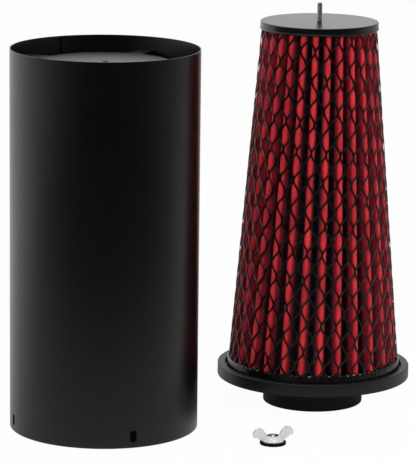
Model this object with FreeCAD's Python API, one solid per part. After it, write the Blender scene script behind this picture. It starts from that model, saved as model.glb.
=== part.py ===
import FreeCAD, Part
import math
import os

from FreeCAD import Vector

# Canister air filter, taken apart and set out as three groups that each stand on the ground plane z = 0:
# the conical pleated element on its outlet neck, the open steel canister that goes over it,
# and the wing nut that holds the canister on, standing on its rubber sealing washer.
# The origin is the centre of the outlet neck's mouth. +Z is up, along the element's axis. Millimetres.

# Canister: one rolled and welded steel tube, open at both ends
canister_diameter = 280.0
canister_wall = 1.5
canister_height = 567.0

# Weld bead along the inside of the tube
seam_width = 5.0
seam_rise = 0.5
seam_bearing = 121.0

# Drain slots in the canister's lower edge
drain_count = 4
drain_width = 10.0
drain_height = 18.0
drain_above_edge = 8.0
drain_bearing = -70.0

# Inlet plate pressed from one sheet: a disc with arms, and a tab bent down at each arm's end
plate_radius = 95.5
plate_sheet = 1.6
plate_below_rim = 20.0
arm_count = 4
arm_width = 25.0
tab_height = 22.0
bend_radius = 3.0
plate_hole_clearance = 0.8

# Outlet neck and base flange, moulded in one
neck_bore = 139.7
neck_wall = 6.35
neck_length = 41.3
flange_thickness = 18.7
lip_width = 12.0
groove_width = 3.0
groove_depth = 8.0
mould_chamfer = 1.5

# Lower potting ring, cast in the flange's channel
potting_margin = 1.0
potting_rise = 11.0

# Expanded metal sleeve, a cone of diamond gaps between strands
mesh_base_radius = 131.2
mesh_top_radius = 87.4
mesh_sheet = 1.8
mesh_strand = 4.0
mesh_gaps_around = 13
mesh_half_rows = 8
mesh_hem = 5.0
mesh_side_count_per_gap = 2

# Pleated media: one folded sheet closed in a ring
pleat_count = 26
pleat_depth = 27.0
pleat_sheet = 2.4
crest_fold_radius = 4.8
valley_fold_radius = 3.0
pleat_twist = 5.0
pleat_bearing = -86.7
crest_wrap = 82.0
valley_wrap = 75.0
crest_flats = 4
valley_flats = 2
media_clearance = 0.4

# Inner support core, a finer cone of the same expanded metal
core_sheet = 1.0
core_strand = 5.0
core_gaps_around = 11
core_half_rows = 6
core_hem = 6.0

# Top cap: a pressed pan whose skirt ends in a rolled bead
element_height = 589.5
cap_sheet = 1.2
cap_skirt = 11.7
cap_chamfer = 0.8
cap_over_mesh = 0.6
bead_width = 0.8
bead_height = 2.2

# Upper potting ring, cast in the cap
upper_potting_recess = 1.0

# Mounting stud: a hex bolt through the cap, with a load plate under the sheet
stud_diameter = 7.94
stud_above_cap = 27.5
stud_chamfer = 1.0
stud_clearance = 0.1
bolt_flats = 12.7
bolt_head_height = 5.2
load_plate_width = 36.0
load_plate_thickness = 2.0

# Sealing washer
washer_diameter = 38.6
washer_thickness = 4.4
washer_clearance = 0.2

# Wing nut
nut_base_diameter = 32.4
nut_base_rim = 1.4
nut_top_diameter = 19.0
nut_height = 8.8
nut_thread_clearance = 0.5
countersink_diameter = 15.4
countersink_depth = 4.2
wing_reach = 31.4
wing_radius = 8.0
wing_centre_height = 13.2
wing_root_radius = 3.4
wing_root_reach = 10.0
wing_root_height = 4.6
wing_thickness = 3.0
nut_turn = 20.0

# Layout: bearing of each group from the element's axis, and the free space between them
canister_bearing = 206.0
canister_gap = 65.7
nut_bearing = 255.6
nut_gap = 97.7

# Radii and levels worked out from the sizes above
canister_radius = canister_diameter / 2
canister_inner_radius = canister_radius - canister_wall
plate_top = canister_height - plate_below_rim

neck_bore_radius = neck_bore / 2
neck_radius = neck_bore_radius + neck_wall
flange_top = neck_length + flange_thickness
groove_floor = flange_top - groove_depth
potting_radius = mesh_base_radius + potting_margin
lip_inner_radius = potting_radius + groove_width
flange_radius = lip_inner_radius + lip_width
media_low = flange_top + potting_rise

cap_underside = element_height - cap_sheet
skirt_low = element_height - cap_skirt
media_high = skirt_low + upper_potting_recess
cap_inner_radius = mesh_top_radius + cap_over_mesh
cap_radius = cap_inner_radius + cap_sheet

side_middle = math.cos(math.pi / (mesh_gaps_around * mesh_side_count_per_gap))
media_base_radius = (mesh_base_radius - mesh_sheet) * side_middle - media_clearance
media_top_radius = (mesh_top_radius - mesh_sheet) * side_middle - media_clearance
core_base_radius = media_base_radius - pleat_depth - media_clearance
core_top_radius = media_top_radius - pleat_depth - media_clearance
lower_potting_bore = core_base_radius - core_sheet - potting_margin
upper_potting_bore = core_top_radius - core_sheet - potting_margin

stud_radius = stud_diameter / 2
stud_hole_radius = stud_radius + stud_clearance
bolt_seat = cap_underside - load_plate_thickness

canister_reach = flange_radius + canister_gap + canister_radius
nut_reach = flange_radius + nut_gap + washer_diameter / 2

up = Vector(0, 0, 1)
axis_foot = Vector(0, 0, 0)


def direction(bearing):
    """Unit vector in plan at a bearing in degrees from +X."""
    return Vector(math.cos(math.radians(bearing)), math.sin(math.radians(bearing)), 0)


def corner_wire(corners, spot, arcs):
    """Closed wire through (a, b, size) corners. spot(a, b) gives the point in space.
    With arcs, size is the corner's radius. Without, it is the length of the chamfer along each side."""
    flat = [Vector(a, b, 0) for a, b, size in corners]
    starts, middles, ends = [], [], []
    for i, (a, b, size) in enumerate(corners):
        here = flat[i]
        back = (flat[i - 1] - here).normalize()
        ahead = (flat[(i + 1) % len(flat)] - here).normalize()
        half = back.getAngle(ahead) / 2
        reach = size / math.tan(half) if arcs else size
        starts.append(here + back * reach)
        ends.append(here + ahead * reach)
        middles.append(here + (back + ahead).normalize() * (size / math.sin(half) - size))
    edges = []
    for i, (a, b, size) in enumerate(corners):
        start, middle, end, after = (
            spot(p.x, p.y) for p in (starts[i], middles[i], ends[i], starts[(i + 1) % len(corners)])
        )
        if size > 0:
            edges.append((Part.Arc(start, middle, end) if arcs else Part.LineSegment(start, end)).toShape())
        edges.append(Part.LineSegment(end, after).toShape())
    return Part.Wire(edges)


def turned(corners, arcs=False):
    """Solid turned about Z from a profile of (radius, height, corner size)."""
    wire = corner_wire(corners, lambda r, z: Vector(r, 0, z), arcs)
    return Part.Face(wire).revolve(axis_foot, up, 360)


def around(shape, count, first_bearing):
    """Copies of a shape made at bearing 0, evenly spaced about Z."""
    copies = []
    for i in range(count):
        copy = shape.copy()
        copy.rotate(axis_foot, up, first_bearing + i * 360.0 / count)
        copies.append(copy)
    return copies


def set_out(shape, bearing, reach):
    """A group's shape, moved from the origin to its place beside the element."""
    placed = shape.copy()
    placed.translate(direction(bearing) * reach)
    return placed


def slot_wire():
    """Outline of a drain slot, upright at bearing 0, with a half-round end above and below."""
    start = canister_inner_radius - drain_width
    end_radius = drain_width / 2
    lower_centre = drain_above_edge + end_radius
    upper_centre = drain_above_edge + drain_height - end_radius
    left_low, right_low = Vector(start, -end_radius, lower_centre), Vector(start, end_radius, lower_centre)
    left_high, right_high = Vector(start, -end_radius, upper_centre), Vector(start, end_radius, upper_centre)
    bottom = Vector(start, 0, drain_above_edge)
    top = Vector(start, 0, drain_above_edge + drain_height)
    return Part.Wire([
        Part.Arc(left_low, bottom, right_low).toShape(),
        Part.LineSegment(right_low, right_high).toShape(),
        Part.Arc(right_high, top, left_high).toShape(),
        Part.LineSegment(left_high, left_low).toShape(),
    ])


def make_canister_shell():
    tube = turned([
        (canister_inner_radius, 0, 0),
        (canister_radius, 0, 0),
        (canister_radius, canister_height, 0),
        (canister_inner_radius, canister_height, 0),
    ])
    slot = Part.Face(slot_wire()).extrude(Vector(canister_wall + 2 * drain_width, 0, 0))
    bead_depth = seam_rise + canister_wall / 2
    bead = Part.makeBox(bead_depth, seam_width, canister_height)
    bead.translate(Vector(canister_inner_radius - seam_rise, -seam_width / 2, 0))
    bead.rotate(axis_foot, up, seam_bearing)
    return tube.fuse(bead).removeSplitter().cut(around(slot, drain_count, drain_bearing))


def make_inlet_plate():
    sheet_bottom = plate_top - plate_sheet
    tab_bottom = plate_top - tab_height
    tab_inner = canister_inner_radius - plate_sheet
    hole_radius = stud_radius + plate_hole_clearance
    disc = turned([
        (hole_radius, sheet_bottom, 0),
        (plate_radius, sheet_bottom, 0),
        (plate_radius, plate_top, 0),
        (hole_radius, plate_top, 0),
    ])
    arm_root = plate_radius - arm_width / 2
    bent_ring = turned(
        [
            (arm_root, sheet_bottom, 0),
            (tab_inner, sheet_bottom, bend_radius - plate_sheet),
            (tab_inner, tab_bottom, 0),
            (canister_inner_radius, tab_bottom, 0),
            (canister_inner_radius, plate_top, bend_radius),
            (arm_root, plate_top, 0),
        ],
        arcs=True,
    )
    arm_block = Part.makeBox(canister_radius, arm_width, canister_height)
    arm_block.translate(Vector(0, -arm_width / 2, 0))
    between_drains = drain_bearing + 180.0 / drain_count
    arms = [bent_ring.common(block) for block in around(arm_block, arm_count, between_drains)]
    return disc.fuse(arms).removeSplitter()


def make_base_flange():
    return turned([
        (neck_bore_radius, 0, 0),
        (neck_radius, 0, 0),
        (neck_radius, neck_length, 0),
        (flange_radius, neck_length, 0),
        (flange_radius, flange_top, mould_chamfer),
        (lip_inner_radius, flange_top, 0),
        (lip_inner_radius, groove_floor, 0),
        (lower_potting_bore, groove_floor, 0),
        (lower_potting_bore, flange_top, 0),
        (neck_bore_radius, flange_top, 0),
    ])


def make_base_potting():
    return turned([
        (lower_potting_bore, groove_floor, 0),
        (potting_radius, groove_floor, 0),
        (potting_radius, media_low, 0),
        (lower_potting_bore, media_low, 0),
    ])


def polygon_ring(sides, radius, level):
    """Points of a regular polygon about Z, with corners at the given radius."""
    spots = [direction(-90.0 + i * 360.0 / sides) * radius for i in range(sides)]
    return [Vector(p.x, p.y, level) for p in spots]


def closed_polygon(points):
    return Part.makePolygon(points + points[:1])


def flat_sided_cone(sides, low_radius, high_radius):
    """Solid cone with flat sides, from media_low to media_high. The radii are those of its corners."""
    low = polygon_ring(sides, low_radius, media_low)
    high = polygon_ring(sides, high_radius, media_high)
    faces = [Part.Face(closed_polygon([low[i - 1], low[i], high[i], high[i - 1]])) for i in range(sides)]
    shell = Part.makeShell(faces + [Part.Face(closed_polygon(low)), Part.Face(closed_polygon(high))])
    shell.sewShape()
    solid = Part.makeSolid(shell)
    if solid.Volume < 0:
        solid.reverse()
    return solid


def make_expanded_cone(base_radius, top_radius, sheet, strand, gaps_around, half_rows, hem):
    """Many-sided conical wall from media_low to media_high with rows of diamond gaps, each row half a gap on.
    The corners of its sides lie on the lines through the gaps' tips, so no strand is bent between two tips."""
    slope = (base_radius - top_radius) / (media_high - media_low)
    sides = gaps_around * mesh_side_count_per_gap
    hollow = flat_sided_cone(sides, base_radius - sheet, top_radius - sheet)
    wall = flat_sided_cone(sides, base_radius, top_radius).cut(hollow)
    first_level = media_low + hem
    last_level = media_high - hem
    step = (last_level - first_level) / half_rows
    gaps = []
    for row in range(half_rows + 1):
        level = first_level + row * step
        radius = base_radius - slope * (level - media_low)
        half_width = radius * math.sin(math.pi / gaps_around)
        kept = 1 - strand / 2 * math.hypot(half_width, step) / (half_width * step)
        start = radius / 2
        corners = [
            Vector(start, -half_width * kept, level),
            Vector(start, 0, level - step * kept),
            Vector(start, half_width * kept, level),
            Vector(start, 0, level + step * kept),
        ]
        if row == 0:
            corners[1:2] = []
        if row == half_rows:
            corners[3:4] = []
        gap = Part.Face(closed_polygon(corners)).extrude(Vector(radius, 0, 0))
        gaps += around(gap, gaps_around, row % 2 * 180.0 / gaps_around - 90.0)
    return wall.cut(gaps)


def pleat_ring(crest_reach, level, turn, inset):
    """Points in plan along the folded sheet, each fold bent in a few flats.
    inset moves them through the sheet, from 0 at its outer face to the sheet's thickness at its inner face."""
    crest_radius = crest_fold_radius - inset
    valley_radius = valley_fold_radius + inset
    crest_centre_reach = crest_reach - crest_fold_radius
    valley_centre_reach = crest_reach - pleat_depth + pleat_sheet + valley_fold_radius
    pitch = 360.0 / pleat_count
    points = []
    for i in range(pleat_count):
        crest_bearing = turn + i * pitch
        valley_bearing = crest_bearing + pitch / 2
        crest_centre = direction(crest_bearing) * crest_centre_reach
        valley_centre = direction(valley_bearing) * valley_centre_reach
        for j in range(crest_flats + 1):
            swing = crest_bearing + crest_wrap * (2.0 * j / crest_flats - 1)
            points.append(crest_centre + direction(swing) * crest_radius)
        for j in range(valley_flats + 1):
            swing = valley_bearing + 180.0 - valley_wrap * (2.0 * j / valley_flats - 1)
            points.append(valley_centre + direction(swing) * valley_radius)
    return [Vector(p.x, p.y, level) for p in points]


def make_pleated_media():
    faces = []
    rims_low, rims_high = [], []
    for inset in (0.0, pleat_sheet):
        low = pleat_ring(media_base_radius, media_low, pleat_bearing, inset)
        high = pleat_ring(media_top_radius, media_high, pleat_bearing + pleat_twist, inset)
        for i in range(len(low)):
            after = (i + 1) % len(low)
            faces.append(Part.Face(closed_polygon([low[i], low[after], high[after]])))
            faces.append(Part.Face(closed_polygon([low[i], high[after], high[i]])))
        rims_low.append(closed_polygon(low))
        rims_high.append(closed_polygon(high))
    faces.append(Part.makeFace(rims_low, "Part::FaceMakerBullseye"))
    faces.append(Part.makeFace(rims_high, "Part::FaceMakerBullseye"))
    shell = Part.makeShell(faces)
    shell.sewShape()
    media = Part.makeSolid(shell)
    if media.Volume < 0:
        media.reverse()
    return media


def make_top_cap():
    return turned([
        (stud_hole_radius, cap_underside, 0),
        (cap_inner_radius, cap_underside, 0),
        (cap_inner_radius, skirt_low, 0),
        (cap_radius + bead_width, skirt_low, 0),
        (cap_radius + bead_width, skirt_low + bead_height, 0),
        (cap_radius, skirt_low + bead_height, 0),
        (cap_radius, element_height, cap_chamfer),
        (stud_hole_radius, element_height, 0),
    ])


def make_top_potting():
    return turned([
        (upper_potting_bore, media_high, 0),
        (cap_inner_radius, media_high, 0),
        (cap_inner_radius, cap_underside, 0),
        (upper_potting_bore, cap_underside, 0),
    ])


def make_load_plate():
    plate = Part.makeBox(load_plate_width, load_plate_width, load_plate_thickness)
    plate.translate(Vector(-load_plate_width / 2, -load_plate_width / 2, bolt_seat))
    hole = Part.makeCylinder(stud_hole_radius, load_plate_thickness, Vector(0, 0, bolt_seat))
    return plate.cut(hole)


def make_mounting_stud():
    corner_reach = bolt_flats / 2 / math.cos(math.pi / 6)
    hexagon = Part.makePolygon([direction(60.0 * i) * corner_reach for i in range(7)])
    head = Part.Face(hexagon).extrude(Vector(0, 0, bolt_head_height))
    head.translate(Vector(0, 0, bolt_seat - bolt_head_height))
    stud_top = element_height + stud_above_cap
    shank = Part.makeCylinder(stud_radius, stud_top - bolt_seat - stud_chamfer, Vector(0, 0, bolt_seat))
    tip = Part.makeCone(
        stud_radius, stud_radius - stud_chamfer, stud_chamfer, Vector(0, 0, stud_top - stud_chamfer)
    )
    return head.fuse([shank, tip]).removeSplitter()


def make_sealing_washer():
    bore = stud_radius + washer_clearance
    return turned([
        (bore, 0, 0),
        (washer_diameter / 2, 0, 0),
        (washer_diameter / 2, washer_thickness, 0),
        (bore, washer_thickness, 0),
    ])


def make_wing():
    """One ear of the nut, in the XZ plane along +X: a round paddle on a tapering arm."""
    paddle = Vector(wing_reach - wing_radius, 0, washer_thickness + wing_centre_height)
    root = Vector(wing_root_reach, 0, washer_thickness + wing_root_height)
    between = paddle - root
    along = math.atan2(between.z, between.x)
    taper = math.acos((wing_root_radius - wing_radius) / between.Length)

    def rim(centre, radius, angle):
        return centre + Vector(math.cos(angle), 0, math.sin(angle)) * radius

    upper = along + taper
    lower = along - taper
    outline = Part.Wire([
        Part.Arc(
            rim(paddle, wing_radius, lower), rim(paddle, wing_radius, along), rim(paddle, wing_radius, upper)
        ).toShape(),
        Part.LineSegment(rim(paddle, wing_radius, upper), rim(root, wing_root_radius, upper)).toShape(),
        Part.Arc(
            rim(root, wing_root_radius, upper),
            rim(root, wing_root_radius, along + math.pi),
            rim(root, wing_root_radius, lower),
        ).toShape(),
        Part.LineSegment(rim(root, wing_root_radius, lower), rim(paddle, wing_radius, lower)).toShape(),
    ])
    plate = Part.Face(outline).extrude(Vector(0, wing_thickness, 0))
    plate.translate(Vector(0, -wing_thickness / 2, 0))
    return plate


def make_wing_nut():
    low = washer_thickness
    high = low + nut_height
    hub = turned([
        (0, low, 0),
        (nut_base_diameter / 2, low, 0),
        (nut_base_diameter / 2, low + nut_base_rim, 0),
        (nut_top_diameter / 2, high, 0),
        (0, high, 0),
    ])
    thread_radius = stud_radius - nut_thread_clearance
    bore = Part.makeCylinder(thread_radius, nut_height + 2 * nut_base_rim, Vector(0, 0, low - nut_base_rim))
    countersink = Part.makeCone(
        thread_radius, countersink_diameter / 2, countersink_depth, Vector(0, 0, high - countersink_depth)
    )
    body = hub.fuse(around(make_wing(), 2, 0)).removeSplitter()
    nut = body.cut([bore, countersink])
    nut.rotate(axis_foot, up, nut_turn)
    return nut


def save(name, shape):
    shape.exportStep(os.path.join("parts", name + ".step"))
    corner = shape.BoundBox
    print(
        f"{name}: solids {len(shape.Solids)}, valid {shape.isValid()}, volume {shape.Volume / 1000:.1f} cm3, "
        f"z {corner.ZMin:.2f} to {corner.ZMax:.2f}"
    )


os.makedirs("parts", exist_ok=True)

save("canister_shell", set_out(make_canister_shell(), canister_bearing, canister_reach))
save("inlet_plate", set_out(make_inlet_plate(), canister_bearing, canister_reach))
save("base_flange", make_base_flange())
save("base_potting", make_base_potting())
save("outer_mesh", make_expanded_cone(
    mesh_base_radius, mesh_top_radius, mesh_sheet, mesh_strand, mesh_gaps_around, mesh_half_rows, mesh_hem
))
save("pleated_media", make_pleated_media())
save("inner_core", make_expanded_cone(
    core_base_radius, core_top_radius, core_sheet, core_strand, core_gaps_around, core_half_rows, core_hem
))
save("top_potting", make_top_potting())
save("top_cap", make_top_cap())
save("load_plate", make_load_plate())
save("mounting_stud", make_mounting_stud())
save("sealing_washer", set_out(make_sealing_washer(), nut_bearing, nut_reach))
save("wing_nut", set_out(make_wing_nut(), nut_bearing, nut_reach))
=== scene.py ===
import math

import bmesh
import bpy
from mathutils import Matrix, Vector, noise


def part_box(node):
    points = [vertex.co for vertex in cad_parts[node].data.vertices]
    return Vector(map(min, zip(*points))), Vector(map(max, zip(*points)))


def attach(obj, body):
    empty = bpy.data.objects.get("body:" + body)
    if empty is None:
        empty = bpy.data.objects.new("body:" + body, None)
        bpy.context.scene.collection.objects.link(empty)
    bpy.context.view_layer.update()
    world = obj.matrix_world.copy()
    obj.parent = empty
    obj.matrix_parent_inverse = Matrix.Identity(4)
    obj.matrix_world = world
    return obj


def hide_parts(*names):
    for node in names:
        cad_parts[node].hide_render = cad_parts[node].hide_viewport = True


# Canister air filter, taken apart: the pleated element on its outlet neck, the open steel canister
# and the wing nut on its sealing washer. Metres, +Z up, origin at the centre of the neck's mouth.

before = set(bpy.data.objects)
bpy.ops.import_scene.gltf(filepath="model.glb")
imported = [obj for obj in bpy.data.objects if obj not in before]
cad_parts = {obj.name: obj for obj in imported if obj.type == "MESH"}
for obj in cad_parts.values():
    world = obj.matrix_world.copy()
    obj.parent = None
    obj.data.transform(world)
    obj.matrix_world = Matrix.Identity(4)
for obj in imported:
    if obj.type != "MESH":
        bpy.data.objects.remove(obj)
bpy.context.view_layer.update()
mm = 0.001
full_turn = 2 * math.pi


# Sizes and places that are read from the frame

def node_axis(node):
    """The upright axis of a round node, as a point at height zero, and the node's radius."""
    low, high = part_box(node)
    return Vector(((low.x + high.x) / 2, (low.y + high.y) / 2, 0)), (high.x - low.x) / 2


def node_levels(node):
    """The heights of a node's underside and top."""
    low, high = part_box(node)
    return low.z, high.z


element_axis, flange_radius = node_axis("base_flange")
canister_axis, canister_radius = node_axis("canister_shell")
nut_axis, washer_radius = node_axis("sealing_washer")
canister_height = node_levels("canister_shell")[1]
tab_low, plate_top = node_levels("inlet_plate")
flange_top = node_levels("base_flange")[1]
potting_low, media_low = node_levels("base_potting")
potting_radius = node_axis("base_potting")[1]
media_high = node_levels("top_potting")[0]
skirt_low, cap_top = node_levels("top_cap")
cap_outer_radius = node_axis("top_cap")[1]
stud_low, stud_top = node_levels("mounting_stud")
mesh_base_radius = node_axis("outer_mesh")[1]
washer_top = node_levels("sealing_washer")[1]

# Canister
canister_wall = 1.5 * mm
canister_edge = 0.35 * mm
canister_steps = 256
seam_width = 5 * mm
seam_rise = 0.5 * mm
seam_backing = 0.6 * mm
# The bead's edges lie this far under the wall's face
seam_sink = 0.1 * mm
seam_ripple = 0.12
seam_ripple_length = 2.2 * mm
seam_bearing = math.radians(121)
seam_columns = 7
seam_rows = 240
drain_count = 4
drain_width = 10 * mm
drain_height = 18 * mm
drain_above_edge = 8 * mm
drain_bearing = math.radians(-70)
# Just under half the width, so that the ends' two rounds don't touch
drain_round = drain_width / 2 * 0.999
drain_round_steps = 10
drain_margin = 3 * mm
drain_cutter_length = 8 * drain_width

# Inlet plate
plate_radius = 95.5 * mm
plate_sheet = 1.6 * mm
plate_hole_radius = 4.77 * mm
plate_edge = 0.3 * mm
plate_steps = 160
arm_count = 4
arm_width = 25 * mm
arm_clearance = 0.05 * mm
bend_radius = 3 * mm
bend_steps = 8

# Neck and flange
neck_bore_radius = 69.85 * mm
neck_radius = 76.2 * mm
neck_length = 41.3 * mm
lip_width = 12 * mm
groove_depth = 8 * mm
flange_round = 1.6 * mm
flange_steps = 224
seat_inner_radius = neck_bore_radius + 28 * mm

# Lower potting
potting_inner_radius = neck_bore_radius + 30 * mm
potting_top = media_low - 1.5 * mm
potting_lip = 2.2 * mm
potting_border = 5 * mm
potting_steps = 720
# Its top is wavy, but for a border at the bore, and climbs in drops at the sleeve's foot
wave_length = 9 * mm
wave_height = 0.5 * mm
ripple_length = 3.2 * mm
ripple_share = 0.6
drop_length = 3.6 * mm
drop_height = 4.5 * mm
climb_height = 0.9 * mm
climb_inset = 1.2 * mm
climb_width = 4.2 * mm
# The band round the axis where the sleeve's strands go in and the potting gets painted glints, and how softly
# it ends
foot_from = mesh_base_radius - 3.5 * mm
foot_to = mesh_base_radius + 0.7 * mm
foot_edge = 1.2 * mm

# Sleeve of expanded metal
cone_top_radius = 87.4 * mm
sheet_thickness = 0.9 * mm
sheet_depth = 0.95 * mm
strand_width = 2.8 * mm
strand_tilt = 0.42 * mm
strand_waviness = 0.09
gap_width = 22.4 * mm
gap_height = 42.8 * mm
gap_points = 5
# A knuckle is the joint where four strands meet, between one gap's tip and the next
knuckle_height = 3.8 * strand_width
# The gaps stand upright at the first bearing, and one knuckle lies at the second and at this level
grain_bearing = math.radians(-157)
knuckle_bearing = math.radians(-133.84)
knuckle_level = 450.8 * mm
spare_cells = 2
pattern_slack = 8 * mm
cell_merge = 0.05 * mm
# Shares of a gap: a strand has its full lean this far in from its middle line, and none this near the
# level of the gap's middle
lean_run = 0.06
lean_rest = 0.02
sleeve_seam_bearing = math.radians(58)
sleeve_lap = math.radians(7)
sleeve_lap_rise = 0.8 * mm
sleeve_cast_in = 4 * mm

# Pleats
pleat_count = 26
pleat_depth = 27 * mm
pleat_sheet = 2 * mm
pleat_bearing = math.radians(-86.7)
pleat_twist = math.radians(5)
crest_round = 4.9 * mm
valley_round = 3.2 * mm
pleat_wrap = math.radians(80)
fold_points = 9
pleat_levels = 44
pleat_sway = math.radians(2.3)
sway_pleats = 13
sway_start = 5.6
media_clearance = 0.2 * mm
pleat_wander = math.radians(0.5)
crest_dent = 0.7 * mm
# How far apart the noise is read from one pleat to the next, and from foot to top
wander_steps = (3.7, 3.1)
dent_steps = (5.3, 4.0)
dent_layer = 9
cloth_spacing = 2.2 * mm

# Cap and stud
cap_sheet = 1.2 * mm
cap_round = 1.3 * mm
cap_round_steps = 5
cap_edge = 0.3 * mm
cap_steps = 192
bead_width = 0.8 * mm
bead_height = 2.6 * mm
bead_points = 8
stud_radius = 3.97 * mm
stud_hole_radius = 4.07 * mm
thread_pitch = 1.41 * mm
thread_depth = 0.55 * mm
# Shares of one pitch at which the thread leaves its root, reaches its crest and leaves it
thread_shares = (0.12, 0.44, 0.56)
thread_steps = 40
thread_merge = 0.01 * mm
# The chamfered end: its height, and how far inside the stud's radius it starts and ends
tip_height = 0.9 * mm
tip_foot = thread_depth * 0.6
tip_end = thread_depth * 1.6
stud_overlap = 0.2 * mm
bolt_flats = 12.7 * mm
bolt_head_height = 5.2 * mm
bolt_head_round = 0.6 * mm

# Wing nut
nut_base_radius = 16.2 * mm
nut_base_rim = 1.4 * mm
nut_top_radius = 10.2 * mm
nut_height = 8.8 * mm
nut_shoulder_height = 1.2 * mm
nut_shoulder_width = 0.6 * mm
nut_steps = 96
nut_voxel = 0.42 * mm
nut_bore_radius = 3.47 * mm
bore_reach = 1 * mm
bore_steps = 64
countersink_radius = 8.9 * mm
countersink_depth = 4.2 * mm
nut_turn = math.radians(20)
wing_thickness = 3 * mm
# Reach and height of the ear's corners above the washer, in millimetres: up its inner edge, round the
# lobe to the notch, and back
ear_outline = [(6.5, 7.6), (9.4, 9.0), (11.4, 12.2), (13.6, 15.8), (16.4, 19.2), (20.0, 21.0), (23.8, 21.0),
               (27.4, 19.4), (30.0, 16.8), (31.5, 13.6), (31.7, 10.4), (30.8, 7.8), (29.2, 6.5), (27.6, 7.1),
               (26.2, 7.2), (24.0, 5.2), (21.0, 3.4), (17.4, 1.8), (12.0, 1.1), (6.5, 1.0)]
washer_bore_radius = 4.17 * mm
washer_round = 0.9 * mm
washer_steps = 96


# Shader maths

class Socket:
    """A shader node's output, or a plain number, with the arithmetic of Math nodes."""

    def __init__(self, finish, value):
        self.finish = finish
        self.value = value

    def math(self, operation, *others):
        inputs = {0: self}
        inputs.update({i + 1: other for i, other in enumerate(others)})
        return self.finish.node("ShaderNodeMath", {"operation": operation}, inputs)

    def __add__(self, other):
        return self.math("ADD", other)

    __radd__ = __add__

    def __sub__(self, other):
        return self.math("SUBTRACT", other)

    def __rsub__(self, other):
        return self.finish.number(other).math("SUBTRACT", self)

    def __mul__(self, other):
        return self.math("MULTIPLY", other)

    __rmul__ = __mul__

    def __truediv__(self, other):
        return self.math("DIVIDE", other)

    def between(self, low, high):
        """0 at low, 1 at high, smooth and clamped."""
        settings = {"interpolation_type": "SMOOTHSTEP"}
        inputs = {"Value": self, "From Min": low, "From Max": high}
        return self.finish.node("ShaderNodeMapRange", settings, inputs)


class Shading:
    """A node tree, and the means to add nodes to it."""

    def __init__(self, owner):
        owner.use_nodes = True
        self.tree = owner.node_tree

    def number(self, value):
        return Socket(self, value)

    def node(self, kind, settings=None, inputs=None, output=0):
        """One method for every node: settings are set first, then the inputs' values or links.

        It gives back the numbered or named output, or with None the node's own first input.
        """
        made = self.tree.nodes.new(kind)
        for title, value in (settings or {}).items():
            if title == "stops":
                set_stops(made.color_ramp, value)
            else:
                setattr(made, title, value)
        for title, value in (inputs or {}).items():
            plain = value.value if isinstance(value, Socket) else value
            if isinstance(plain, bpy.types.NodeSocket):
                self.tree.links.new(plain, made.inputs[title])
            else:
                made.inputs[title].default_value = plain
        return Socket(self, made.inputs[0] if output is None else made.outputs[output])

    def blend(self, share, low, high):
        """The colour low where share is 0, and high where it is 1."""
        return self.node("ShaderNodeMix", {"data_type": "RGBA"}, {0: share, 6: low, 7: high}, output=2)

    def ramp(self, share, stops):
        """A grey ramp through (position, value) stops."""
        colours = [(position, grey(value)) for position, value in stops]
        return self.node("ShaderNodeValToRGB", {"stops": colours}, {"Fac": share})

    def round_patch(self, place, centre, inner, outer):
        """0 within a circle round an upright axis, rising to 1 from its inner to its outer radius."""
        flat = self.node("ShaderNodeVectorMath", {"operation": "SUBTRACT"}, {0: place, 1: tuple(centre)})
        reach = self.node("ShaderNodeVectorMath", {"operation": "LENGTH"}, {0: flat}, output="Value")
        return reach.between(inner, outer)

    def join(self, output, shader):
        """Link a shader to the output node, the last link of a tree."""
        self.tree.links.new(shader.value, output.value.node.inputs["Surface"])


class Finish(Shading):
    """A material with one Principled shader."""

    def __init__(self, name, **constants):
        self.material = bpy.data.materials.new(name)
        super().__init__(self.material)
        self.shader = self.tree.nodes["Principled BSDF"]
        for title, value in constants.items():
            self.shader.inputs[title.replace("_", " ")].default_value = value
        self.place = self.node("ShaderNodeTexCoord", output="Object")

    def noise(self, scale, detail=3.0, roughness=0.5, stretch=None):
        place = self.place if stretch is None else self.mapping(scale=stretch)
        return self.node("ShaderNodeTexNoise", None,
                         {"Vector": place, "Scale": scale, "Detail": detail, "Roughness": roughness})

    def mapping(self, scale=(1, 1, 1), centre=(0, 0, 0)):
        return self.node("ShaderNodeMapping", None,
                         {"Vector": self.place, "Scale": scale, "Location": tuple(-c for c in centre)})

    def reach(self, axis):
        """How far the place is from an upright axis."""
        flat = self.mapping(scale=(1, 1, 0), centre=(axis.x, axis.y, 0))
        return self.node("ShaderNodeVectorMath", {"operation": "LENGTH"}, {0: flat}, output="Value")

    def bump(self, height, distance, strength=1.0):
        inputs = {"Height": height, "Distance": distance, "Strength": strength}
        return self.node("ShaderNodeBump", None, inputs)

    def about(self, middle, *drifts):
        """A value that drifts about its middle. Each drift is a noise and how much of it goes in."""
        total = middle - sum(share for _, share in drifts) / 2
        for drift, share in drifts:
            total = drift * share + total
        return total

    def set(self, title, value):
        """Link a value to one of the shader's own inputs."""
        self.tree.links.new(value.value, self.shader.inputs[title])


def set_stops(ramp, stops):
    """Give a colour ramp its (position, colour) stops."""
    while len(ramp.elements) < len(stops):
        ramp.elements.new(0.5)
    for element, (position, colour) in zip(ramp.elements, stops):
        element.position = position
        element.color = colour


def grey(value, alpha=1.0):
    return (value, value, value, alpha)


# Modelling helpers

def deselect_all():
    bpy.ops.object.select_all(action="DESELECT")


def make_active(piece):
    deselect_all()
    piece.select_set(True)
    bpy.context.view_layer.objects.active = piece


def named(name):
    """The object that the last primitive made, under its own name."""
    piece = bpy.context.active_object
    piece.name = name
    piece.data.name = name
    return piece


def edit(piece):
    """Enter edit mode with every vertex selected."""
    make_active(piece)
    bpy.ops.object.mode_set(mode="EDIT")
    bpy.ops.mesh.select_mode(type="VERT")
    bpy.ops.mesh.select_all(action="SELECT")


def leave_edit():
    bpy.ops.object.mode_set(mode="OBJECT")


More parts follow.
